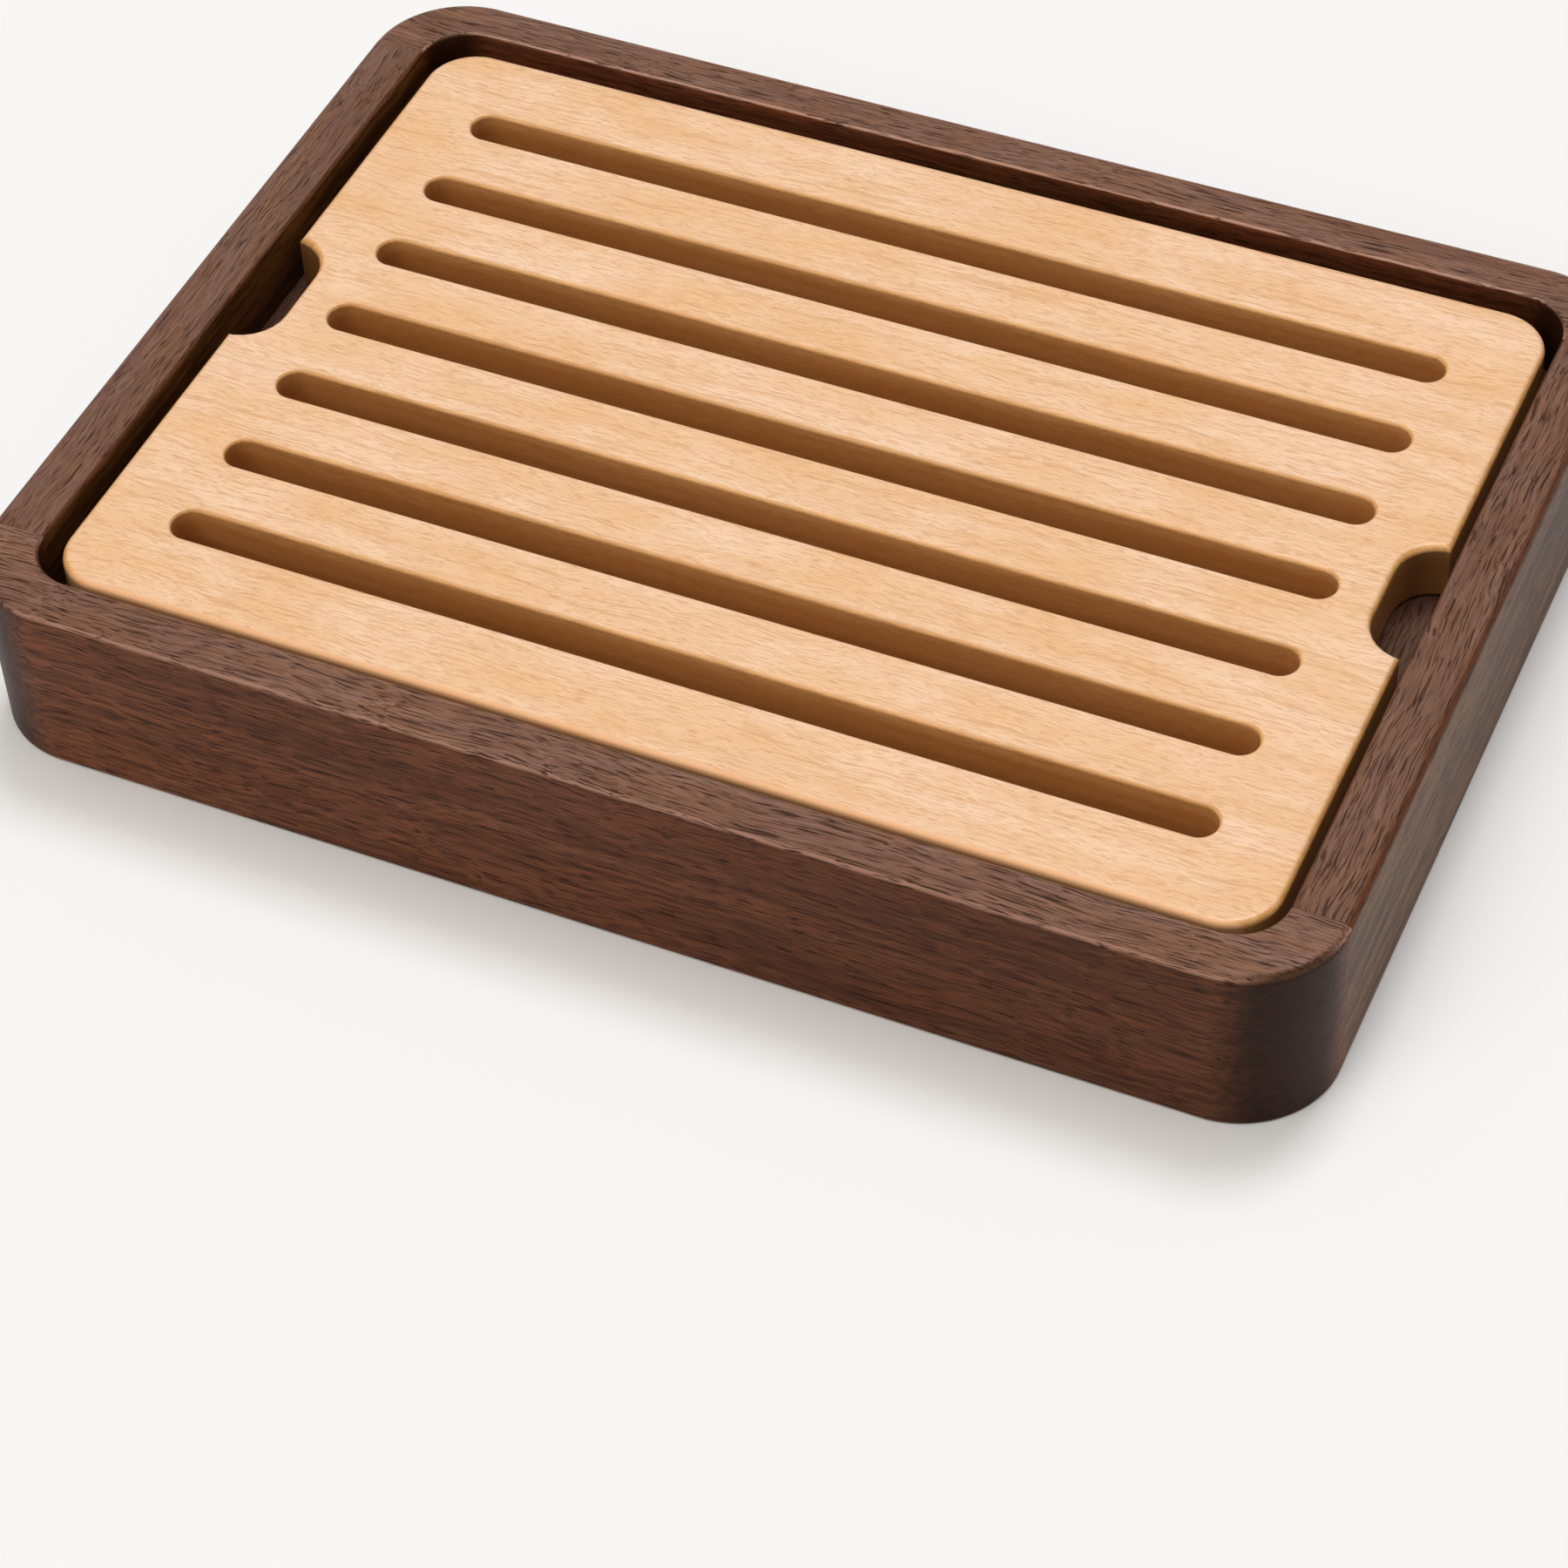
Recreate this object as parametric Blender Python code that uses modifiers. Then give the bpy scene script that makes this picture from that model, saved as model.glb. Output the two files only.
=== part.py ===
"""Bread board with a crumb catcher.

A walnut tray, glued up from four dowelled rails around a thin bottom panel, and a slotted maple
board that lies loose on a ledge inside the tray. Crumbs fall through the slots onto the panel, and
the board is lifted out by two finger notches.

Metres, +Z up, +X along the tray's length, front towards -Y. The origin is under the middle of the
tray, on the surface that the tray stands on.
"""

from math import acos, cos, hypot, pi, sin

import bmesh
import bpy
from mathutils import Matrix

MM = 0.001

# The tray: outside size, rounded corners and eased edges
TRAY_LENGTH = 360 * MM
TRAY_WIDTH = 262 * MM
TRAY_HEIGHT = 52.5 * MM
CORNER_RADIUS = 26 * MM
TOP_EDGE_RADIUS = 2.6 * MM
BOTTOM_EDGE_RADIUS = 1 * MM

# The rails: width of the stock, and of the rim that stays above the ledge
LONG_STOCK = 26 * MM
LONG_RIM = 13.2 * MM
END_STOCK = 34 * MM
END_RIM = 15 * MM

# The pocket that holds the board, and its rounded mouth, which runs out a hair above the rim
POCKET_RADIUS = 14 * MM
MOUTH_RADIUS = 1.4 * MM
MOUTH_LIFT = 0.05 * MM

# The bottom panel, held in a groove in the rails
PANEL_THICKNESS = 7 * MM
PANEL_LIFT = 6 * MM
GROOVE_DEPTH = 7 * MM

# The dowels: half as thick as the wood that each one has round it, half way into the long rail
DOWEL_THICKNESS_SHARE = 0.5
DOWEL_LONG_SHARE = 0.5
DOWEL_PLACE_SHARES = {"inner": 0.26, "outer": 0.67}
DOWEL_IN_END_RAIL = 22 * MM
DOWEL_CHAMFER_SHARE = 0.12

# The slotted board: play in the pocket, more across the grain, where wood swells, how far it lies
# pushed back in that play, and how far under the rim
BOARD_END_PLAY = 3.4 * MM
BOARD_SIDE_PLAY = 4 * MM
BOARD_SETBACK_SHARE = 0.2
BOARD_RECESS = 4 * MM
BOARD_THICKNESS = 17 * MM
BOARD_RADIUS = 14 * MM
BOARD_EDGE_RADIUS = 1.2 * MM

# The crumb slots
SLOT_COUNT = 7
SLOT_WIDTH = 10 * MM
SLOT_END_MARGIN = 21.6 * MM
SLOT_SIDE_MARGIN = 23.9 * MM

# The finger notches, a little behind the middle of the board's two ends
NOTCH_DEPTH = 10.6 * MM
NOTCH_FLARE = 1 * MM
NOTCH_STRAIGHT = 17 * MM
NOTCH_SETBACK = 3.5 * MM

# Glued and resting faces stand this far apart, and a cut runs this far past the wood
SEAT_GAP = 0.3 * MM
OVERRUN = 5 * MM
WELD = 0.02 * MM

# Sides of a quarter turn in plan and over an edge, and of a round dowel
OUTER_STEPS = 14
INNER_STEPS = 8
EDGE_STEPS = 3
DOWEL_SIDES = 16

# Heights and plan sizes that follow
ledge_top = TRAY_HEIGHT - BOARD_RECESS - BOARD_THICKNESS - SEAT_GAP
groove_top = PANEL_LIFT + PANEL_THICKNESS + 2 * SEAT_GAP
well_length = TRAY_LENGTH - 2 * END_STOCK
well_width = TRAY_WIDTH - 2 * LONG_STOCK
pocket_length = TRAY_LENGTH - 2 * END_RIM
pocket_width = TRAY_WIDTH - 2 * LONG_RIM
board_length = pocket_length - 2 * BOARD_END_PLAY
board_width = pocket_width - 2 * BOARD_SIDE_PLAY
joint_y = TRAY_WIDTH / 2 - LONG_STOCK


def clear_scene():
    for old in list(bpy.data.objects):
        bpy.data.objects.remove(old, do_unlink=True)


def new_collection(name):
    collection = bpy.data.collections.new(name)
    bpy.context.scene.collection.children.link(collection)
    return collection


def linear(hex_colour):
    """An sRGB colour such as "6B4636", as Blender's linear RGBA."""
    shares = [int(hex_colour[i:i + 2], 16) / 255 for i in (0, 2, 4)]
    return [s / 12.92 if s < 0.04045 else ((s + 0.055) / 1.055) ** 2.4 for s in shares] + [1.0]


def wood(name, hex_colour, roughness):
    material = bpy.data.materials.new(name)
    material.use_nodes = True
    shader = material.node_tree.nodes["Principled BSDF"]
    shader.inputs["Base Color"].default_value = linear(hex_colour)
    shader.inputs["Roughness"].default_value = roughness
    shader.inputs["Metallic"].default_value = 0.0
    return material


def arc(centre_x, centre_y, radius, start, end, steps):
    """Points along an arc, both ends included, from angle start to angle end."""
    angles = [start + (end - start) * k / steps for k in range(steps + 1)]
    return [(centre_x + radius * cos(a), centre_y + radius * sin(a)) for a in angles]


def rounded_rectangle(length, width, radius, steps):
    """A rectangle about the origin with round corners, counter-clockwise from the lower right."""
    points = []
    for quarter, (side_x, side_y) in enumerate(((1, -1), (1, 1), (-1, 1), (-1, -1))):
        centre_x = side_x * (length / 2 - radius)
        centre_y = side_y * (width / 2 - radius)
        start = (quarter - 1) * pi / 2
        points += arc(centre_x, centre_y, radius, start, start + pi / 2, steps)
    return points


def outline_solid(name, outlines, bottom, top, edge_radius=0.0):
    """A flat solid between two heights, from an outline and the outlines of its holes."""
    curve = bpy.data.curves.new(name, "CURVE")
    curve.dimensions = "2D"
    curve.fill_mode = "BOTH"
    curve.extrude = (top - bottom) / 2 - edge_radius
    curve.bevel_depth = edge_radius
    curve.bevel_resolution = 1
    curve.offset = -edge_radius
    for outline in outlines:
        spline = curve.splines.new("POLY")
        spline.points.add(len(outline) - 1)
        for point, (x, y) in zip(spline.points, outline):
            point.co = (x, y, 0, 1)
        spline.use_cyclic_u = True
    guide = bpy.data.objects.new(name + "_outline", curve)
    guide.location.z = (top + bottom) / 2
    bpy.context.scene.collection.objects.link(guide)
    bpy.context.view_layer.update()

    evaluated = guide.evaluated_get(bpy.context.evaluated_depsgraph_get())
    mesh = bpy.data.meshes.new_from_object(evaluated)
    mesh.name = name
    mesh.materials.clear()
    shape = bmesh.new()
    shape.from_mesh(mesh)
    bmesh.ops.remove_doubles(shape, verts=shape.verts, dist=WELD)
    bmesh.ops.recalc_face_normals(shape, faces=shape.faces)
    shape.to_mesh(mesh)
    shape.free()
    solid = bpy.data.objects.new(name, mesh)
    solid.matrix_world = guide.matrix_world
    bpy.data.objects.remove(guide, do_unlink=True)
    bpy.data.curves.remove(curve)
    return solid


def block(name, low, high):
    """A box between two corners."""
    shape = bmesh.new()
    bmesh.ops.create_cube(shape, size=1)
    size = [b - a for a, b in zip(low, high)]
    middle = [(a + b) / 2 for a, b in zip(low, high)]
    bmesh.ops.transform(shape, matrix=Matrix.Diagonal((*size, 1)), verts=shape.verts)
    mesh = bpy.data.meshes.new(name)
    shape.to_mesh(mesh)
    shape.free()
    box = bpy.data.objects.new(name, mesh)
    box.location = middle
    return box


def combine(target, cutter, operation):
    modifier = target.modifiers.new(operation.lower() + "_" + cutter.name, "BOOLEAN")
    modifier.operation = operation
    modifier.solver = "EXACT"
    modifier.object = cutter


def add_part(part, material):
    part.data.materials.append(material)
    parts.objects.link(part)
    return part


def add_cutter(cutter):
    cutter.hide_render = True
    cutter.display_type = "WIRE"
    cutters.objects.link(cutter)
    return cutter


# The tray's outside, which all four rails are shaped to

def tray_form():
    """The whole tray as one block: round corners, a soft top edge and a small one underneath."""
    outline = rounded_rectangle(TRAY_LENGTH, TRAY_WIDTH, CORNER_RADIUS, OUTER_STEPS)
    form = outline_solid("tray_form", [outline], 0, TRAY_HEIGHT)
    shape = bmesh.new()
    shape.from_mesh(form.data)
    weight = shape.edges.layers.float.new("bevel_weight_edge")
    for edge in shape.edges:
        if len({face.normal.z > 0.5 or face.normal.z < -0.5 for face in edge.link_faces}) == 2:
            is_top = edge.verts[0].co.z > 0
            edge[weight] = 1 if is_top else BOTTOM_EDGE_RADIUS / TOP_EDGE_RADIUS
    shape.to_mesh(form.data)
    shape.free()
    bevel = form.modifiers.new("eased_edges", "BEVEL")
    bevel.limit_method = "WEIGHT"
    bevel.width = TOP_EDGE_RADIUS
    bevel.segments = EDGE_STEPS
    bevel.use_clamp_overlap = False
    return add_cutter(form)


def push_out(point, distance):
    """Moves a point of the pocket's outline outwards, square to the outline."""
    flat_x = pocket_length / 2 - POCKET_RADIUS
    flat_y = pocket_width / 2 - POCKET_RADIUS
    out_x = point.co.x - max(-flat_x, min(flat_x, point.co.x))
    out_y = point.co.y - max(-flat_y, min(flat_y, point.co.y))
    reach = hypot(out_x, out_y)
    point.co.x += distance * out_x / reach
    point.co.y += distance * out_y / reach


def pocket_cutter():
    """The pocket over the ledge, its mouth rounded over towards the rim."""
    outline = rounded_rectangle(pocket_length, pocket_width, POCKET_RADIUS, INNER_STEPS)
    straight_top = TRAY_HEIGHT - MOUTH_RADIUS + MOUTH_LIFT
    cutter = outline_solid("pocket_cutter", [outline], ledge_top, straight_top)
    turns = [pi / 2 * k / EDGE_STEPS for k in range(EDGE_STEPS + 1)]
    steps = [
        (MOUTH_RADIUS * (cos(a) - cos(b)), MOUTH_RADIUS * (sin(b) - sin(a)))
        for a, b in zip(turns, turns[1:])]
    steps.append((0, OVERRUN))

    shape = bmesh.new()
    shape.from_mesh(cutter.data)
    lid = [face for face in shape.faces if face.normal.z > 0.5]
    for out, up in steps:
        raised = bmesh.ops.extrude_face_region(shape, geom=lid)["geom"]
        bmesh.ops.delete(shape, geom=lid, context="FACES")
        lid = [item for item in raised if isinstance(item, bmesh.types.BMFace)]
        for point in {corner for face in lid for corner in face.verts}:
            push_out(point, out)
            point.co.z += up
    bmesh.ops.recalc_face_normals(shape, faces=shape.faces)
    shape.to_mesh(cutter.data)
    shape.free()
    return add_cutter(cutter)


def groove_cutter():
    """The groove for the panel, as one plate that reaches into all four rails."""
    outline = rounded_rectangle(
        well_length + 2 * GROOVE_DEPTH, well_width + 2 * GROOVE_DEPTH, GROOVE_DEPTH, INNER_STEPS)
    return add_cutter(outline_solid("groove_cutter", [outline], PANEL_LIFT, groove_top))


# The four rails

def rail(name, low, high, tools):
    """A length of stock, shaped to the tray's outside and then cut."""
    form, *cuts = tools
    stock = block(name, low, high)
    combine(stock, form, "INTERSECT")
    for cut in cuts:
        combine(stock, cut, "DIFFERENCE")
    return add_part(stock, walnut)


def long_rails(tools):
    """The front and back rails run the full length and carry the tray's corners."""
    far_x = TRAY_LENGTH / 2 + OVERRUN
    far_y = TRAY_WIDTH / 2 + OVERRUN
    low_z, high_z = -OVERRUN, TRAY_HEIGHT + OVERRUN
    rail("front_rail", (-far_x, -far_y, low_z), (far_x, -joint_y, high_z), tools)
    rail("back_rail", (-far_x, joint_y, low_z), (far_x, far_y, high_z), tools)


def end_rails(tools):
    """The left and right rails fit between the long ones."""
    near_x = well_length / 2
    far_x = TRAY_LENGTH / 2 + OVERRUN
    end_y = joint_y - SEAT_GAP
    low_z, high_z = -OVERRUN, TRAY_HEIGHT + OVERRUN
    rail("left_rail", (-far_x, -end_y, low_z), (-near_x, end_y, high_z), tools)
    rail("right_rail", (near_x, -end_y, low_z), (far_x, end_y, high_z), tools)


# The dowels that join the rails, two at each corner

dowel_room = min(ledge_top - groove_top, END_STOCK / len(DOWEL_PLACE_SHARES))
dowel_diameter = DOWEL_THICKNESS_SHARE * dowel_room
dowel_height = (ledge_top + groove_top) / 2
dowel_in_long_rail = DOWEL_LONG_SHARE * LONG_STOCK


def round_rod(name, radius, length, chamfer=0.0):
    """A rod along Y about its own middle."""
    shape = bmesh.new()
    bmesh.ops.create_cone(
        shape, cap_ends=True, segments=DOWEL_SIDES, radius1=radius, radius2=radius, depth=length)
    if chamfer:
        rims = [edge for edge in shape.edges if abs(edge.verts[0].co.z - edge.verts[1].co.z) < WELD]
        bmesh.ops.bevel(shape, geom=rims, offset=chamfer, segments=1, affect="EDGES")
    bmesh.ops.rotate(shape, matrix=Matrix.Rotation(pi / 2, 3, "X"), verts=shape.verts)
    mesh = bpy.data.meshes.new(name)
    shape.to_mesh(mesh)
    shape.free()
    return mesh


def dowel_places():
    """The name and the middle of each dowel."""
    middle_y = joint_y + (dowel_in_long_rail - DOWEL_IN_END_RAIL) / 2
    for row, side_y in (("front", -1), ("back", 1)):
        for end, side_x in (("left", -1), ("right", 1)):
            for place, share in DOWEL_PLACE_SHARES.items():
                x = side_x * (well_length / 2 + share * END_STOCK)
                yield f"{row}_{end}_{place}_dowel", (x, side_y * middle_y, dowel_height)


def dowel_holes():
    """All eight dowel holes as one cutter."""
    length = dowel_in_long_rail + DOWEL_IN_END_RAIL
    rod = round_rod("dowel_hole", dowel_diameter / 2 + SEAT_GAP, length + 2 * SEAT_GAP)
    shape = bmesh.new()
    for _, place in dowel_places():
        copy = rod.copy()
        copy.transform(Matrix.Translation(place))
        shape.from_mesh(copy)
        bpy.data.meshes.remove(copy)
    holes = bpy.data.meshes.new("dowel_holes")
    shape.to_mesh(holes)
    shape.free()
    bpy.data.meshes.remove(rod)
    return add_cutter(bpy.data.objects.new("dowel_holes", holes))


def dowels():
    length = dowel_in_long_rail + DOWEL_IN_END_RAIL
    chamfer = DOWEL_CHAMFER_SHARE * dowel_diameter
    rod = round_rod("dowel", dowel_diameter / 2, length, chamfer)
    for name, place in dowel_places():
        dowel = bpy.data.objects.new(name, rod)
        dowel.location = place
        parts.objects.link(dowel)
    rod.materials.append(beech)


# The bottom panel, which catches the crumbs

def bottom_panel():
    tongue = GROOVE_DEPTH - SEAT_GAP
    outline = rounded_rectangle(
        well_length + 2 * tongue, well_width + 2 * tongue, tongue, INNER_STEPS)
    bottom = PANEL_LIFT + SEAT_GAP
    panel = outline_solid("bottom_panel", [outline], bottom, bottom + PANEL_THICKNESS)
    add_part(panel, walnut)


# The slotted board

def notch_points(side):
    """The notch in the right (+1) or left (-1) end, in the order that the outline passes it."""
    radius = NOTCH_DEPTH + NOTCH_FLARE
    centre_x = board_length / 2 + NOTCH_FLARE
    turn = acos(NOTCH_FLARE / radius)
    half = NOTCH_STRAIGHT / 2
    lower = arc(centre_x, -half, radius, pi + turn, pi, INNER_STEPS)
    upper = arc(centre_x, half, radius, pi, pi - turn, INNER_STEPS)
    return [(side * x, side * y + NOTCH_SETBACK) for x, y in lower + upper]


def board_outline():
    """Round corners, with a notch between each end's two corners."""
    corners = rounded_rectangle(board_length, board_width, BOARD_RADIUS, INNER_STEPS)
    corner = INNER_STEPS + 1
    lower_right, upper_right = corners[:corner], corners[corner:2 * corner]
    upper_left, lower_left = corners[2 * corner:3 * corner], corners[3 * corner:]
    return (lower_right + notch_points(1) + upper_right
            + upper_left + notch_points(-1) + lower_left)


def slot_outlines():
    """Slots with round ends, evenly spaced between the side margins."""
    radius = SLOT_WIDTH / 2
    reach = board_length / 2 - SLOT_END_MARGIN - radius
    first = -board_width / 2 + SLOT_SIDE_MARGIN + radius
    pitch = -2 * first / (SLOT_COUNT - 1)
    for k in range(SLOT_COUNT):
        y = first + k * pitch
        right = arc(reach, y, radius, -pi / 2, pi / 2, INNER_STEPS)
        left = arc(-reach, y, radius, pi / 2, 3 * pi / 2, INNER_STEPS)
        yield right + left


def slotted_board():
    bottom = ledge_top + SEAT_GAP
    outlines = [board_outline(), *slot_outlines()]
    board = outline_solid(
        "slotted_board", outlines, bottom, bottom + BOARD_THICKNESS, BOARD_EDGE_RADIUS)
    board.location.y = BOARD_SETBACK_SHARE * BOARD_SIDE_PLAY
    add_part(board, maple)


clear_scene()
parts = new_collection("bread_board")
cutters = new_collection("cutters")
walnut = wood("oiled_walnut", "5E4034", 0.5)
maple = wood("oiled_maple", "E3B98A", 0.45)
beech = wood("beech_dowel", "C99E6E", 0.7)

rail_tools = [tray_form(), pocket_cutter(), groove_cutter(), dowel_holes()]
long_rails(rail_tools)
end_rails(rail_tools)
dowels()
bottom_panel()
slotted_board()
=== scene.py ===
from math import pi, radians

import bmesh
import bpy
from mathutils import Matrix, Vector


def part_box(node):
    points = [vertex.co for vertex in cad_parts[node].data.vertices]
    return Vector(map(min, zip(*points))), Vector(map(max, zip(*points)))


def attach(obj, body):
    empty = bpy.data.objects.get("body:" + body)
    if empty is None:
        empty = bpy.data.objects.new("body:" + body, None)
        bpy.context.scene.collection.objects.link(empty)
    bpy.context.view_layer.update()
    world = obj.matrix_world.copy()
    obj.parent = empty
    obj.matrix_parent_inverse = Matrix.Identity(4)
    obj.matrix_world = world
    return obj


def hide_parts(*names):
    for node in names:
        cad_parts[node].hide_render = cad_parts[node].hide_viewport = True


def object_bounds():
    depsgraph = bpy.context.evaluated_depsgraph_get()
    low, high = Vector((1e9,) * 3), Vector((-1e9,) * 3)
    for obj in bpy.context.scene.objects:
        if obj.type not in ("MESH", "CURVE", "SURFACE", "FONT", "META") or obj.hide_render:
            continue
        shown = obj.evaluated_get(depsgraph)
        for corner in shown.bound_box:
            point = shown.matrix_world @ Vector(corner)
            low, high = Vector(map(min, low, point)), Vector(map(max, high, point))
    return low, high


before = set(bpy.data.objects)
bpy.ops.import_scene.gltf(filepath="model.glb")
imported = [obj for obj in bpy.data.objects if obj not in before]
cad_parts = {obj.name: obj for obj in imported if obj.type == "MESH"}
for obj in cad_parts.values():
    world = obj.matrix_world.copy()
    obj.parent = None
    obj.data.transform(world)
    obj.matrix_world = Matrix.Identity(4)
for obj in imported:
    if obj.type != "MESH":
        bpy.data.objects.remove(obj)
cad_low, cad_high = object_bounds()
MM = 0.001


# Bottom panel
# A thin walnut board that closes the tray and catches the crumbs. It is planed and oiled, its grain
# runs the length of the tray, and its edge sits loose in a groove round the four rails.

panel_low, panel_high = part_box("bottom_panel")
PANEL_CORNER = 6.7 * MM
PANEL_ARRIS = 0.3 * MM
PANEL_CORNER_STEPS = 10
PANEL_ARRIS_STEPS = 2
LONG_RIM = 13.2 * MM
END_RIM = 15 * MM
TOUCHING = 0.01 * MM

# The sides' tints, light and dark, are painted shade on the upright faces; an arris is its tint, a
# painted highlight where light and painted shade where dark, its share, and the tilts where it starts
# and ends
FRONT_SIDE_SHADE = ("EEC5A1", "D4B092")
END_SIDE_SHADE = ("FFF4AC", "BAAE7A")
SHADED_ARRIS = ("5A3015", 0.6, 0.07, 0.99)
ARRIS_EASE_IN = 0.3
ARRIS_EASE_OUT = 0.19

# Heights between which the routed rebate's painted shade fades, and where it starts, stops and ends
REBATE_FOOT = 30 * MM
REBATE_DARK = 32 * MM
REBATE_LIGHT = 46 * MM
REBATE_FADE_BELOW_TOP = 1.2 * MM
REBATE_END_BELOW_TOP = 0.8 * MM
REBATE_SLACK = 0.4 * MM
FULL_PORE = 0.88
PORE_EASE = 0.12


def pick_only(piece):
    """Leaves this one object selected and active."""
    bpy.ops.object.select_all(action="DESELECT")
    piece.select_set(True)
    bpy.context.view_layer.objects.active = piece


def box_between(name, low, high):
    """A cube drawn out between two corners, its place in its mesh."""
    bpy.ops.object.select_all(action="DESELECT")
    bpy.ops.mesh.primitive_cube_add(size=1, location=(low + high) / 2, scale=high - low)
    piece = bpy.context.object
    piece.name = piece.data.name = name
    bpy.ops.object.transform_apply(location=True, rotation=True, scale=True)
    return piece


def round_edges(piece, radius, steps, belongs):
    """Rounds the edges whose two ends the rule accepts, with the bevel tool."""
    pick_only(piece)
    bpy.ops.object.mode_set(mode="EDIT")
    bpy.ops.mesh.select_mode(type="EDGE")
    bpy.ops.mesh.select_all(action="DESELECT")
    shape = bmesh.from_edit_mesh(piece.data)
    for edge in shape.edges:
        edge.select_set(belongs(edge.verts[0].co, edge.verts[1].co))
    bmesh.update_edit_mesh(piece.data)
    bpy.ops.mesh.bevel(offset=radius, segments=steps, affect="EDGES", clamp_overlap=False)
    bpy.ops.object.mode_set(mode="OBJECT")


def upright(a, b):
    """An edge that runs straight up."""
    return (a - b).xy.length < TOUCHING


def level_at(height):
    """A rule for the edges that lie at one height."""
    return lambda a, b: abs(a.z - height) < TOUCHING and abs(b.z - height) < TOUCHING


def finish_surface(piece, angle):
    """Smooth shading over the rounded edges, with the flats kept flat."""
    pick_only(piece)
    bpy.ops.object.shade_smooth_by_angle(angle=angle)
    piece.modifiers.new("flats", "WEIGHTED_NORMAL").keep_sharp = True
    bpy.ops.object.modifier_apply(modifier="flats")


def linear(hex_colour):
    """An sRGB colour such as 6B4636, as Blender's linear RGBA."""
    shares = [int(hex_colour[i:i + 2], 16) / 255 for i in (0, 2, 4)]
    return [s / 12.92 if s < 0.04045 else ((s + 0.055) / 1.055) ** 2.4 for s in shares] + [1]


def add(tree, kind, inputs=None, **settings):
    """Adds a node with its settings, and sets or links each input named by socket name or number."""
    node = tree.nodes.new(kind)
    for setting, value in settings.items():
        setattr(node, setting, value)
    for socket, value in (inputs or {}).items():
        if isinstance(value, bpy.types.NodeSocket):
            tree.links.new(value, node.inputs[socket])
        else:
            node.inputs[socket].default_value = value
    return node


def calc(tree, how, *values):
    """One step of arithmetic on numbers or sockets."""
    return add(tree, "ShaderNodeMath", dict(enumerate(values)), operation=how).outputs[0]


def new_material(name):
    """An empty material with its output, ready for a shader."""
    material = bpy.data.materials.new(name)
    material.use_nodes = True
    material.node_tree.nodes.clear()
    output = material.node_tree.nodes.new("ShaderNodeOutputMaterial")
    return material, material.node_tree, output


def along_grain(tree, place, length, width, grain, offset):
    """The place in the wood measured in streaks of this length and width, which follow the grain."""
    scale = [1 / width, 1 / width, 1 / width]
    scale["XY".index(grain)] = 1 / length
    return add(tree, "ShaderNodeMapping", {"Vector": place, "Scale": scale, "Location": offset})


def streaks(tree, place, length, width, grain, offset, detail=2.0):
    """Noise drawn out along the grain, from 0 to 1."""
    stretched = along_grain(tree, place, length, width, grain, offset)
    return add(tree, "ShaderNodeTexNoise", {
        "Vector": stretched.outputs[0], "Scale": 1.0, "Detail": detail, "Roughness": 0.55}).outputs[0]


def reach(tree, value, low, high, out_low=0.0, out_high=1.0):
    """Eases a value between two limits."""
    return add(tree, "ShaderNodeMapRange", {
        "Value": value, "From Min": low, "From Max": high, "To Min": out_low, "To Max": out_high},
        interpolation_type="SMOOTHSTEP").outputs[0]


def tinted(tree, share, base, tint, how="MIX"):
    """Lays a tint over a colour by a share."""
    return add(tree, "ShaderNodeMix", {0: share, 6: base, 7: tint}, data_type="RGBA",
               blend_type=how).outputs[2]


def wandering(tree, place, length, size):
    """The place in the wood, moved about a little, so that the grain isn't ruled straight."""
    drift = add(tree, "ShaderNodeTexNoise", {"Vector": place, "Scale": 1 / length, "Detail": 3.0})
    either_way = add(tree, "ShaderNodeVectorMath", {
        0: drift.outputs["Color"], 1: (0.5, 0.5, 0.5)}, operation="SUBTRACT")
    return add(tree, "ShaderNodeVectorMath", {
        0: either_way.outputs[0], 1: (size, size, size), 2: place},
        operation="MULTIPLY_ADD").outputs[0]


def walnut_figure(tree, place, grain, offset, pore_limit):
    """The colour of a sawn walnut face, the share of it that is open pore, and its rings."""
    figure = streaks(tree, place, 140 * MM, 11 * MM, grain, offset)
    patches = streaks(tree, place, 30 * MM, 6 * MM, grain, offset)
    rings = streaks(tree, place, 90 * MM, 2.2 * MM, grain, offset)
    fibres = streaks(tree, place, 12 * MM, 0.4 * MM, grain, offset)
    pores = streaks(tree, place, 12 * MM, 0.44 * MM, grain, offset)
    colour = tinted(tree, reach(tree, patches, 0.4, 0.6), linear("966B53"), linear("926D5D"))
    colour = tinted(tree, reach(tree, figure, 0.35, 0.7, 0, 0.45), colour, linear("784E3A"))
    colour = tinted(tree, reach(tree, rings, 0.45, 0.62, 0, 0.3), colour, linear("664330"))
    colour = tinted(tree, reach(tree, fibres, 0.36, 0.6, 0.6, 0), colour, linear("5C3C2A"))
    pore_share = reach(tree, pores, pore_limit - PORE_EASE, pore_limit, 0, FULL_PORE)
    return colour, pore_share, reach(tree, rings, 0.42, 0.6)


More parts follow.
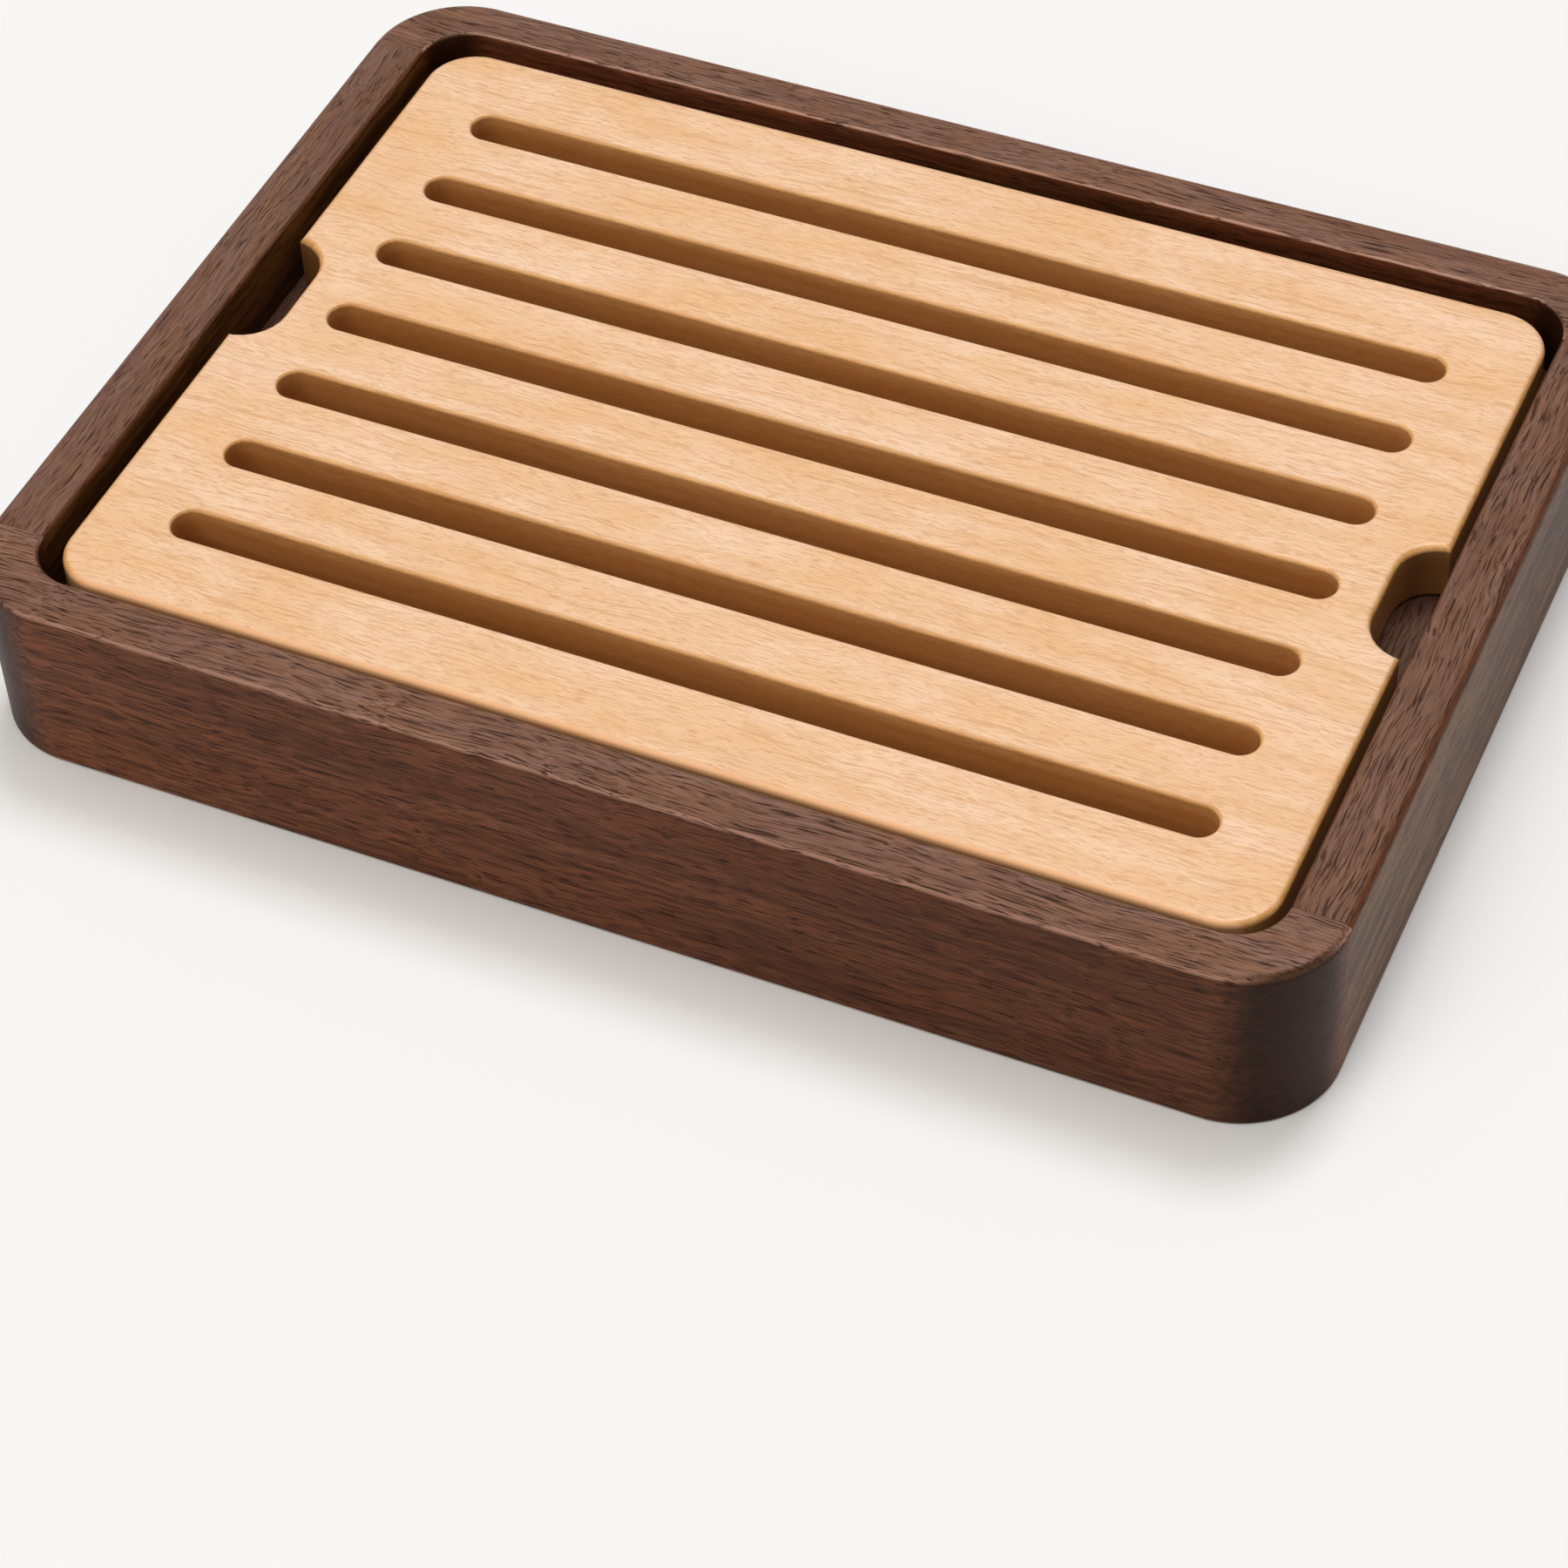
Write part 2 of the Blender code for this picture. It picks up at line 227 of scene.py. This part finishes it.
def oiled_walnut(name, grain, offset, side, arris, darkness, pore_limit):
    """Black walnut, planed, sanded and oiled: dark open pores as thin lines in brown wood with mauve
    patches, and a dull sheen. The sides carry painted shade, the rounded edges a tint that is a painted
    highlight where light and painted shade where dark, and a corner that turns across the grain goes
    dark, partly as end grain and partly as painted shade."""
    material, tree, output = new_material(name)
    wood = add(tree, "ShaderNodeTexCoord")
    place = wandering(tree, wood.outputs["Object"], 45 * MM, 6 * MM)
    facing = add(tree, "ShaderNodeSeparateXYZ", {0: wood.outputs["Normal"]})
    across_grain = "Y" if grain == "X" else "X"
    ends = calc(tree, "ABSOLUTE", facing.outputs[grain])
    flanks = calc(tree, "ABSOLUTE", facing.outputs[across_grain])

    # Past a corner the streaks follow the other side of the tray
    colour, pores, rings = walnut_figure(tree, place, grain, offset, pore_limit)
    end_colour, end_pores, end_rings = walnut_figure(tree, place, across_grain, offset, pore_limit)
    past_corner = reach(tree, ends, 0.7, 0.93)
    colour = tinted(tree, past_corner, colour, end_colour)
    pores = add(tree, "ShaderNodeMix", {0: past_corner, 2: pores, 3: end_pores}).outputs[0]
    rings = add(tree, "ShaderNodeMix", {0: past_corner, 2: rings, 3: end_rings}).outputs[0]
    colour = tinted(tree, darkness, colour, linear("40281C"))

    arris_light_and_shade, arris_share, arris_foot, arris_top = arris
    # Painted shade: the upright sides are darkened by the side tint
    upright_share = reach(tree, facing.outputs["Z"], 0.05, 0.4, 1, 0)
    side_shade = tinted(tree, rings, linear(side[0]), linear(side[1]))
    colour = tinted(tree, upright_share, colour, side_shade, "MULTIPLY")

    # Painted shade: the long sides get a little darker towards the right
    spot = add(tree, "ShaderNodeSeparateXYZ", {0: wood.outputs["Object"]})
    to_right = reach(tree, spot.outputs["X"], cad_low.x, cad_high.x, 0, 1)
    long_side = flanks if grain == "X" else ends
    right_end_shade = calc(tree, "MULTIPLY", to_right, long_side)
    right_end_shade = calc(tree, "MULTIPLY", right_end_shade, upright_share)
    colour = tinted(tree, right_end_shade, colour, linear("D2D0CE"), "MULTIPLY")

    # The rounded edges' tint, a painted highlight where it is light and painted shade where it is dark;
    # then the corner that turns across the grain, darker partly as end grain and partly as painted shade
    leaving = reach(tree, facing.outputs["Z"], arris_foot, arris_foot + ARRIS_EASE_IN, 0, arris_share)
    reaching = reach(tree, facing.outputs["Z"], arris_top - ARRIS_EASE_OUT, arris_top, 1, 0)
    rounded = calc(tree, "MULTIPLY", leaving, reaching)
    colour = tinted(tree, rounded, colour, linear(arris_light_and_shade))
    # The corner turning across the grain goes dark: partly darker end grain, partly painted shade
    turning = reach(tree, ends, 0.0, 0.5)
    fading = reach(tree, flanks, 0.0, 0.4)
    corner = calc(tree, "MULTIPLY", turning, fading)
    colour = tinted(tree, corner, colour, linear("7E7864"), "MULTIPLY")

    # Painted shade in the routed rebate inside the rim, darker further down
    rebate_shade_depth = reach(tree, spot.outputs["Z"], REBATE_DARK, REBATE_LIGHT, 0.55, 0.2)
    below_top = reach(tree, spot.outputs["Z"], cad_high.z - REBATE_FADE_BELOW_TOP,
                      cad_high.z - REBATE_END_BELOW_TOP, 1, 0)
    inside = calc(tree, "MULTIPLY", rebate_shade_depth, below_top)
    above_groove = calc(tree, "GREATER_THAN", spot.outputs["Z"], REBATE_FOOT)
    inside = calc(tree, "MULTIPLY", inside, above_groove)
    for axis, rim in (("X", cad_high.x - END_RIM), ("Y", cad_high.y - LONG_RIM)):
        from_middle = calc(tree, "ABSOLUTE", spot.outputs[axis])
        within = calc(tree, "LESS_THAN", from_middle, rim + REBATE_SLACK)
        inside = calc(tree, "MULTIPLY", inside, within)
    colour = tinted(tree, inside, colour, linear("22130A"))
    colour = tinted(tree, pores, colour, linear("341E14"))

    bump = add(tree, "ShaderNodeBump", {
        "Strength": 0.4, "Distance": 0.1 * MM, "Height": pores}, invert=True)
    shine = reach(tree, pores, 0, FULL_PORE, 0.5, 0.3)
    shader = add(tree, "ShaderNodeBsdfPrincipled", {
        "Base Color": colour, "Roughness": 0.42, "IOR": 1.2, "Specular IOR Level": shine,
        "Normal": bump.outputs[0]})
    tree.links.new(shader.outputs[0], output.inputs[0])
    return material


panel = box_between("panel", panel_low, panel_high)
round_edges(panel, PANEL_CORNER, PANEL_CORNER_STEPS, upright)
round_edges(panel, PANEL_ARRIS, PANEL_ARRIS_STEPS, level_at(panel_high.z))
finish_surface(panel, radians(40))
panel.data.materials.append(oiled_walnut(
    "oiled_walnut_panel", "X", (3.1, 7.7, 1.3), FRONT_SIDE_SHADE, SHADED_ARRIS, 0.1, 0.66))
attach(panel, "tray")
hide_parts("bottom_panel")


# Dowels
# Eight plain beech pins, two in each corner joint, glued half into the long rail and half
# into the end rail. They are hidden once the tray is glued up, and keep the frame's own shape.

def raw_beech():
    """Beech as turned, unoiled: pale pinkish brown with fine short flecks and no gloss."""
    material, tree, output = new_material("raw_beech_dowel")
    wood = add(tree, "ShaderNodeTexCoord").outputs["Object"]
    flecks = streaks(tree, wood, 3 * MM, 0.4 * MM, "Y", (0, 0, 0))
    colour = tinted(tree, reach(tree, flecks, 0.4, 0.7), linear("CDA374"), linear("B98A5C"))
    shader = add(tree, "ShaderNodeBsdfPrincipled", {"Base Color": colour, "Roughness": 0.7})
    tree.links.new(shader.outputs[0], output.inputs[0])
    return material


beech = raw_beech()
dowel_names = sorted(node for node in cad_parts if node.endswith("_dowel"))
for dowel in dowel_names:
    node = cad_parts[dowel]
    node.data.materials.clear()
    node.data.materials.append(beech)


# Rails
# Four lengths of solid walnut. The long ones carry the corners and the end ones butt between them;
# once they are glued up, the outside is rounded, and the rebate for the board is routed in one go.

TRAY_CORNER = 26 * MM
TOP_ARRIS = 2.6 * MM
BOTTOM_ARRIS = 1 * MM
POCKET_CORNER = 14 * MM
POCKET_ARRIS = 1.1 * MM
GLUE_LINE = 0.06 * MM
SEAT_GAP = 0.3 * MM
OVERRUN = 5 * MM
RULE_SLACK = 0.1 * MM
CORNER_STEPS = 40
ARRIS_STEPS = 6
DOWEL_HOLE_SIDES = 32
FLAT_BEYOND = radians(35)
INSET_PER_RADIUS = 1.25


def cut_with(piece, cutter, how="DIFFERENCE"):
    """Cuts a piece with another object, which is used up."""
    pick_only(piece)
    modifier = piece.modifiers.new("cut", "BOOLEAN")
    modifier.operation = how
    modifier.object = cutter
    bpy.ops.object.modifier_apply(modifier="cut")
    bpy.data.objects.remove(cutter, do_unlink=True)


def ease_rims(piece, height, rounds, steps):
    """Rounds the rims of the flat face at one height, by a radius and a rule for each kind of rim.
    A narrow band is inset along them first and the rest is filled again, which keeps the rounding
    even round the holes."""
    at_height = level_at(height)
    pick_only(piece)
    bpy.ops.object.mode_set(mode="EDIT")
    bpy.ops.mesh.select_mode(type="FACE")
    bpy.ops.mesh.select_all(action="DESELECT")
    shape = bmesh.from_edit_mesh(piece.data)
    for face in shape.faces:
        face.select_set(all(at_height(v.co, v.co) for v in face.verts))
    bmesh.update_edit_mesh(piece.data)
    bpy.ops.mesh.inset(thickness=INSET_PER_RADIUS * max(radius for radius, belongs in rounds))
    bpy.ops.mesh.delete(type="FACE")
    bpy.ops.mesh.select_mode(type="EDGE")
    bpy.ops.mesh.select_all(action="DESELECT")
    shape = bmesh.from_edit_mesh(piece.data)
    for edge in shape.edges:
        edge.select_set(edge.is_boundary)
    bmesh.update_edit_mesh(piece.data)
    bpy.ops.mesh.fill(use_beauty=True)
    for radius, belongs in rounds:
        bpy.ops.mesh.select_all(action="DESELECT")
        shape = bmesh.from_edit_mesh(piece.data)
        for edge in shape.edges:
            a, b = edge.verts[0].co, edge.verts[1].co
            flat = [all(at_height(v.co, v.co) for v in face.verts) for face in edge.link_faces]
            edge.select_set(at_height(a, b) and not all(flat) and belongs(a, b))
        bmesh.update_edit_mesh(piece.data)
        bpy.ops.mesh.bevel(offset=radius, segments=steps, affect="EDGES", clamp_overlap=False)
    bpy.ops.object.mode_set(mode="OBJECT")


def inside_pocket(a, b):
    """An edge that is inside the tray's outer edge."""
    return all(abs(p.x) < pocket_high.x + RULE_SLACK and abs(p.y) < pocket_high.y + RULE_SLACK
               for p in (a, b))


front_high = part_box("front_rail")[1]
right_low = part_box("right_rail")[0]
board_low, board_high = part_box("slotted_board")
ledge_z = board_low.z - SEAT_GAP
pocket_low = Vector((cad_low.x + END_RIM, cad_low.y + LONG_RIM, ledge_z))
pocket_high = Vector((cad_high.x - END_RIM, cad_high.y - LONG_RIM, cad_high.z + OVERRUN))

blank = box_between("blank", cad_low, cad_high)
round_edges(blank, TRAY_CORNER, CORNER_STEPS, upright)
round_edges(blank, TOP_ARRIS, ARRIS_STEPS, level_at(cad_high.z))
round_edges(blank, BOTTOM_ARRIS, ARRIS_STEPS, level_at(cad_low.z))

pocket = box_between("pocket", pocket_low, pocket_high)
round_edges(pocket, POCKET_CORNER, CORNER_STEPS, upright)
cut_with(blank, pocket)
ease_rims(blank, cad_high.z, [(POCKET_ARRIS, inside_pocket)], ARRIS_STEPS)

groove_reach = Vector((SEAT_GAP, SEAT_GAP, SEAT_GAP))
end_of_side = front_high.y + GLUE_LINE
rail_stock = {
    "front_rail": (Vector((cad_low.x, cad_low.y)), Vector((cad_high.x, front_high.y))),
    "back_rail": (Vector((cad_low.x, -front_high.y)), Vector((cad_high.x, cad_high.y))),
    "left_rail": (Vector((cad_low.x, end_of_side)), Vector((-right_low.x, -end_of_side))),
    "right_rail": (Vector((right_low.x, end_of_side)), Vector((cad_high.x, -end_of_side))),
}
# Each rail's arris tint: a painted highlight on the front and back rails, painted shade on the left and
# right rails
rail_looks = {
    "front_rail": oiled_walnut(
        "oiled_walnut_front", "X", (0.0, 0.0, 0.0), FRONT_SIDE_SHADE, ("C8967F", 0.56, 0.24, 0.80), 0.0, 0.63),
    "back_rail": oiled_walnut(
        "oiled_walnut_back", "X", (5.3, 2.9, 8.1), FRONT_SIDE_SHADE, ("D8A892", 0.7, 0.32, 0.97), 0.1, 0.64),
    "left_rail": oiled_walnut(
        "oiled_walnut_left", "Y", (9.7, 4.4, 2.2), END_SIDE_SHADE, SHADED_ARRIS, 0.26, 0.66),
    "right_rail": oiled_walnut(
        "oiled_walnut_right", "Y", (1.9, 6.1, 5.5), END_SIDE_SHADE, ("5A2E12", 0.9, 0.07, 0.99), 0.26, 0.64),
}

for rail, (low, high) in rail_stock.items():
    stock_low = Vector((low.x, low.y, cad_low.z - OVERRUN))
    stock_high = Vector((high.x, high.y, cad_high.z + OVERRUN))
    for axis in (0, 1):
        if abs(low[axis] - cad_low[axis]) < MM:
            stock_low[axis] -= OVERRUN
        if abs(high[axis] - cad_high[axis]) < MM:
            stock_high[axis] += OVERRUN
    pick_only(blank)
    bpy.ops.object.duplicate()
    piece = bpy.context.object
    piece.name = piece.data.name = rail.replace("_rail", "_rail_walnut")
    cut_with(piece, box_between("stock", stock_low, stock_high), "INTERSECT")

    groove = box_between("groove", panel_low - groove_reach, panel_high + groove_reach)
    round_edges(groove, PANEL_CORNER, PANEL_CORNER_STEPS, upright)
    cut_with(piece, groove)
    for dowel in dowel_names:
        dowel_low, dowel_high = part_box(dowel)
        if any(dowel_low[axis] > high[axis] or dowel_high[axis] < low[axis] for axis in (0, 1)):
            continue
        bpy.ops.object.select_all(action="DESELECT")
        bpy.ops.mesh.primitive_cylinder_add(
            vertices=DOWEL_HOLE_SIDES, radius=(dowel_high.x - dowel_low.x) / 2 + SEAT_GAP,
            depth=dowel_high.y - dowel_low.y + 2 * SEAT_GAP,
            location=(dowel_low + dowel_high) / 2, rotation=(pi / 2, 0, 0))
        cut_with(piece, bpy.context.object)
    finish_surface(piece, FLAT_BEYOND)
    piece.data.materials.append(rail_looks[rail])
    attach(piece, "tray")
    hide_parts(rail)
bpy.data.objects.remove(blank, do_unlink=True)


# Slotted board
# One wide board of pale maple, sanded and oiled, that lies loose on the ledge. The seven slots and
# the two finger notches are routed right through it, and every edge is eased.

BOARD_CORNER = 14 * MM
BOARD_ARRIS = 1.8 * MM
BOARD_UNDER_ARRIS = 1.2 * MM
SLOT_ARRIS = 1.1 * MM
SLOT_COUNT = 7
SLOT_WIDTH = 10 * MM
SLOT_END_MARGIN = 21.6 * MM
SLOT_SIDE_MARGIN = 23.9 * MM
SLOT_END_STEPS = 24
NOTCH_DEPTH = 10.6 * MM
NOTCH_FLARE = 1 * MM
NOTCH_STRAIGHT = 17 * MM
NOTCH_SETBACK = 3.5 * MM
NOTCH_STEPS = 7
BOARD_ARRIS_STEPS = 5
JUST_UNDER_HALF = 0.9999

# Where the looks change: down a slot's wall, where painted shade deepens; at the long outer sides, where
# painted light begins; and round the finger notches, where painted shade falls
ROUTED_DARK = 43 * MM
ROUTED_LIGHT = 48 * MM
LIGHT_EDGE_FROM = 110 * MM
NOTCH_FROM = 146 * MM
NOTCH_END_EASE = 3 * MM
NOTCH_UP_TO = 40 * MM
NOTCH_SIDE_EASE = 20 * MM


def oiled_maple():
    """Hard maple, sanded fine and oiled: even and pale, with thin tan flecks along the grain and
    soft clouds. Walls and lips that the router left are a warmer brown, partly the cut fibres' tone and
    partly painted shade, stronger on faces that tilt to the front and darker deeper down the slots."""
    material, tree, output = new_material("oiled_maple")
    wood = add(tree, "ShaderNodeTexCoord")
    place = wandering(tree, wood.outputs["Object"], 30 * MM, 5 * MM)
    clouds = streaks(tree, place, 45 * MM, 16 * MM, "X", (2.0, 1.0, 3.0))
    rings = streaks(tree, place, 120 * MM, 4 * MM, "X", (4.0, 2.0, 1.0))
    lines = streaks(tree, place, 60 * MM, 1.0 * MM, "X", (6.0, 8.0, 5.0), detail=1.0)
    fibres = streaks(tree, place, 5 * MM, 0.5 * MM, "X", (1.0, 5.0, 2.0))
    flecks = streaks(tree, place, 5 * MM, 0.4 * MM, "X", (7.0, 3.0, 9.0), detail=1.0)
    colour = tinted(tree, reach(tree, clouds, 0.3, 0.7), linear("F1C293"), linear("F8D3B2"))
    colour = tinted(tree, reach(tree, rings, 0.45, 0.7, 0, 0.4), colour, linear("EAB685"))
    colour = tinted(tree, reach(tree, lines, 0.6, 0.66, 0, 0.45), colour, linear("D9A06A"))
    colour = tinted(tree, reach(tree, fibres, 0.42, 0.62, 0, 0.3), colour, linear("E2AC78"))
    fleck_share = reach(tree, flecks, 0.54, 0.62, 0, 0.42)
    colour = tinted(tree, fleck_share, colour, linear("CC9059"))
    facing = add(tree, "ShaderNodeSeparateXYZ", {0: wood.outputs["Normal"]})
    # Painted shade: faces that tilt towards the front take the routed brown sooner than faces that tilt
    # back
    front_shade_tilt = calc(tree, "MULTIPLY_ADD", facing.outputs["Y"], 0.6, facing.outputs["Z"])
    routed_tone_and_shade = reach(tree, front_shade_tilt, 0.72, 1.02, 0.9, 0)
    routed_colour = tinted(tree, reach(tree, rings, 0.4, 0.65), linear("EBAE68"), linear("D99C58"))
    spot = add(tree, "ShaderNodeSeparateXYZ", {0: wood.outputs["Object"]})
    # Painted shade: the routed brown darkens further down the slots
    depth = reach(tree, spot.outputs["Z"], ROUTED_DARK, ROUTED_LIGHT, 0.6, 0)
    routed_colour = tinted(tree, depth, routed_colour, linear("AF6510"))
    specks = reach(tree, fibres, 0.4, 0.64, 0, 0.3)
    routed_colour = tinted(tree, specks, routed_colour, linear("A86C2C"))

    # Painted light: the long outer edges get a light tan instead of the routed brown, brightening them
    # where the rim shades them
    to_side = calc(tree, "ABSOLUTE", spot.outputs["Y"])
    planed = reach(tree, to_side, LIGHT_EDGE_FROM, LIGHT_EDGE_FROM + MM)
    routed_colour = tinted(tree, planed, routed_colour, linear("F2B47C"))
    colour = tinted(tree, routed_tone_and_shade, colour, routed_colour)

    # Painted shade: the back wall of each finger notch is darker
    to_end = calc(tree, "ABSOLUTE", spot.outputs["X"])
    notch_wall_shade = reach(tree, facing.outputs["Y"], -0.7, -0.1, 0.6, 0)
    for limit in (reach(tree, facing.outputs["Z"], 0.05, 0.4, 1, 0),
                  reach(tree, to_end, NOTCH_FROM, NOTCH_FROM + NOTCH_END_EASE),
                  reach(tree, to_side, NOTCH_UP_TO, NOTCH_UP_TO + NOTCH_SIDE_EASE, 1, 0)):
        notch_wall_shade = calc(tree, "MULTIPLY", notch_wall_shade, limit)
    colour = tinted(tree, notch_wall_shade, colour, linear("402310"))
    bump = add(tree, "ShaderNodeBump", {
        "Strength": 0.3, "Distance": 0.05 * MM, "Height": fibres})
    shader = add(tree, "ShaderNodeBsdfPrincipled", {
        "Base Color": colour, "Roughness": 0.3, "IOR": 1.42, "Normal": bump.outputs[0]})
    tree.links.new(shader.outputs[0], output.inputs[0])
    return material


def long_hole(name, centre, half_x, half_y, steps):
    """A cutter with round ends: a box whose upright edges are rounded until they meet."""
    low = Vector((centre.x - half_x, centre.y - half_y, board_low.z - OVERRUN))
    high = Vector((centre.x + half_x, centre.y + half_y, board_high.z + OVERRUN))
    cutter = box_between(name, low, high)
    round_edges(cutter, min(half_x, half_y) * JUST_UNDER_HALF, steps, upright)
    return cutter


def round_a_slot(a, b):
    """An edge in the field of slots, inside the board's outline and its notches."""
    field_x = board_high.x - SLOT_END_MARGIN + RULE_SLACK
    field_y = board_high.y - board_middle - SLOT_SIDE_MARGIN + RULE_SLACK
    return all(abs(p.x) < field_x and abs(p.y - board_middle) < field_y for p in (a, b))


def round_the_board(a, b):
    """An edge of the board's outline, notches included."""
    return not round_a_slot(a, b)


board_middle = (board_low.y + board_high.y) / 2
board = box_between("bread_board", board_low, board_high)
round_edges(board, BOARD_CORNER, CORNER_STEPS, upright)

first_slot = board_low.y + SLOT_SIDE_MARGIN + SLOT_WIDTH / 2
slot_pitch = 2 * (board_middle - first_slot) / (SLOT_COUNT - 1)
half_x = board_high.x - SLOT_END_MARGIN
for k in range(SLOT_COUNT):
    centre = Vector((0, first_slot + k * slot_pitch, 0))
    cut_with(board, long_hole("slot", centre, half_x, SLOT_WIDTH / 2, SLOT_END_STEPS))

notch_radius = NOTCH_DEPTH + NOTCH_FLARE
half_y = NOTCH_STRAIGHT / 2 + notch_radius
for side in (-1, 1):
    centre = Vector((side * (board_high.x + NOTCH_FLARE), board_middle + NOTCH_SETBACK, 0))
    cut_with(board, long_hole("notch", centre, notch_radius, half_y, NOTCH_STEPS))

for height, outline_arris in ((board_high.z, BOARD_ARRIS), (board_low.z, BOARD_UNDER_ARRIS)):
    rounds = [(outline_arris, round_the_board), (SLOT_ARRIS, round_a_slot)]
    ease_rims(board, height, rounds, BOARD_ARRIS_STEPS)
finish_surface(board, FLAT_BEYOND)
board.data.materials.append(oiled_maple())
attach(board, "board")
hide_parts("slotted_board")


# Floor
# A plain pale studio table that the tray stands on. It isn't part of the object.

FLOOR_SIZE = 12.0
bpy.ops.object.select_all(action="DESELECT")
bpy.ops.mesh.primitive_plane_add(size=FLOOR_SIZE, location=(0, 0, cad_low.z))
floor = bpy.context.object
floor.name = "floor"
bpy.ops.object.transform_apply(location=True, rotation=True, scale=True)
floor_material, tree, output = new_material("pale_table")
floor_shader = add(tree, "ShaderNodeBsdfDiffuse", {"Color": linear("F7F6F4")})
tree.links.new(floor_shader.outputs[0], output.inputs[0])
floor.data.materials.append(floor_material)


# Studio light
# A white tent, one wide soft lamp overhead, a smaller one high up behind the tray, which throws the
# short soft shadow to the front, and a third soft lamp, the weakest, from the front left.

WARM = (1, 0.975, 0.94)
COOL = (1, 1.06, 1.15)
LAMPS = {
    "overhead_lamp": {
        "share": 0.38, "from": Vector((-0.02, -0.04, 1.0)), "across": radians(44), "tone": WARM},
    "rear_lamp": {
        "share": 0.28, "from": Vector((-0.02, 0.37, 0.93)), "across": radians(18), "tone": COOL},
    "left_lamp": {
        "share": 0.17, "from": Vector((-0.35, -0.75, 0.9)), "across": radians(40), "tone": WARM},
}
TENT_ZENITH = 0.20
TENT_HORIZON = 0.14

for name, lamp in LAMPS.items():
    bpy.ops.object.light_add(type="SUN", location=lamp["from"])
    sun = bpy.context.object
    sun.name = name
    sun.data.angle = lamp["across"]
    sun.data.energy = lamp["share"] * pi / lamp["from"].normalized().z
    sun.data.color = lamp["tone"]
    sun.rotation_euler = lamp["from"].to_track_quat("Z", "Y").to_euler()

world = bpy.data.worlds.new("tent")
bpy.context.scene.world = world
world.use_nodes = True
tree = world.node_tree
tree.nodes.clear()
direction = add(tree, "ShaderNodeTexCoord")
height = add(tree, "ShaderNodeSeparateXYZ", {0: direction.outputs["Generated"]}).outputs["Z"]
glow = reach(tree, height, 0.0, 1.0, TENT_HORIZON, TENT_ZENITH)
tent = add(tree, "ShaderNodeBackground", {"Color": (*WARM, 1), "Strength": glow})
seen = add(tree, "ShaderNodeBackground", {"Color": linear("F7F6F4"), "Strength": 1.0})
rays = add(tree, "ShaderNodeLightPath")
direct = calc(tree, "ADD", rays.outputs["Is Camera Ray"], rays.outputs["Is Glossy Ray"])
direct = add(tree, "ShaderNodeMath", {
    0: direct, 1: rays.outputs["Is Transmission Ray"]}, use_clamp=True).outputs[0]
either = add(tree, "ShaderNodeMixShader", {0: direct, 1: tent.outputs[0], 2: seen.outputs[0]})
output = add(tree, "ShaderNodeOutputWorld", {0: either.outputs[0]})


# Camera
# At the photograph's place, found by fitting the tray's and the board's edges and slots.

CAMERA_AZIMUTH = radians(25.995)
CAMERA_ELEVATION = radians(47.161)
CAMERA_ROLL = radians(-2.990)
CAMERA_TARGET = Vector((20.60, -69.49, 0)) * MM
CAMERA_DISTANCE = 1110.57 * MM
CAMERA_LENS = 101.19

bpy.ops.object.camera_add()
camera = bpy.context.object
camera.name = "camera"
turn = (Matrix.Rotation(CAMERA_AZIMUTH, 4, "Z")
        @ Matrix.Rotation(pi / 2 - CAMERA_ELEVATION, 4, "X")
        @ Matrix.Rotation(CAMERA_ROLL, 4, "Z"))
backwards = turn.col[2].xyz
camera.matrix_world = Matrix.Translation(CAMERA_TARGET + CAMERA_DISTANCE * backwards) @ turn
camera.data.sensor_width = 36
camera.data.lens = CAMERA_LENS
camera.data.clip_start = 0.05
camera.data.clip_end = 50
camera.data.dof.use_dof = False
bpy.context.scene.camera = camera
bpy.context.scene.view_settings.view_transform = "Standard"
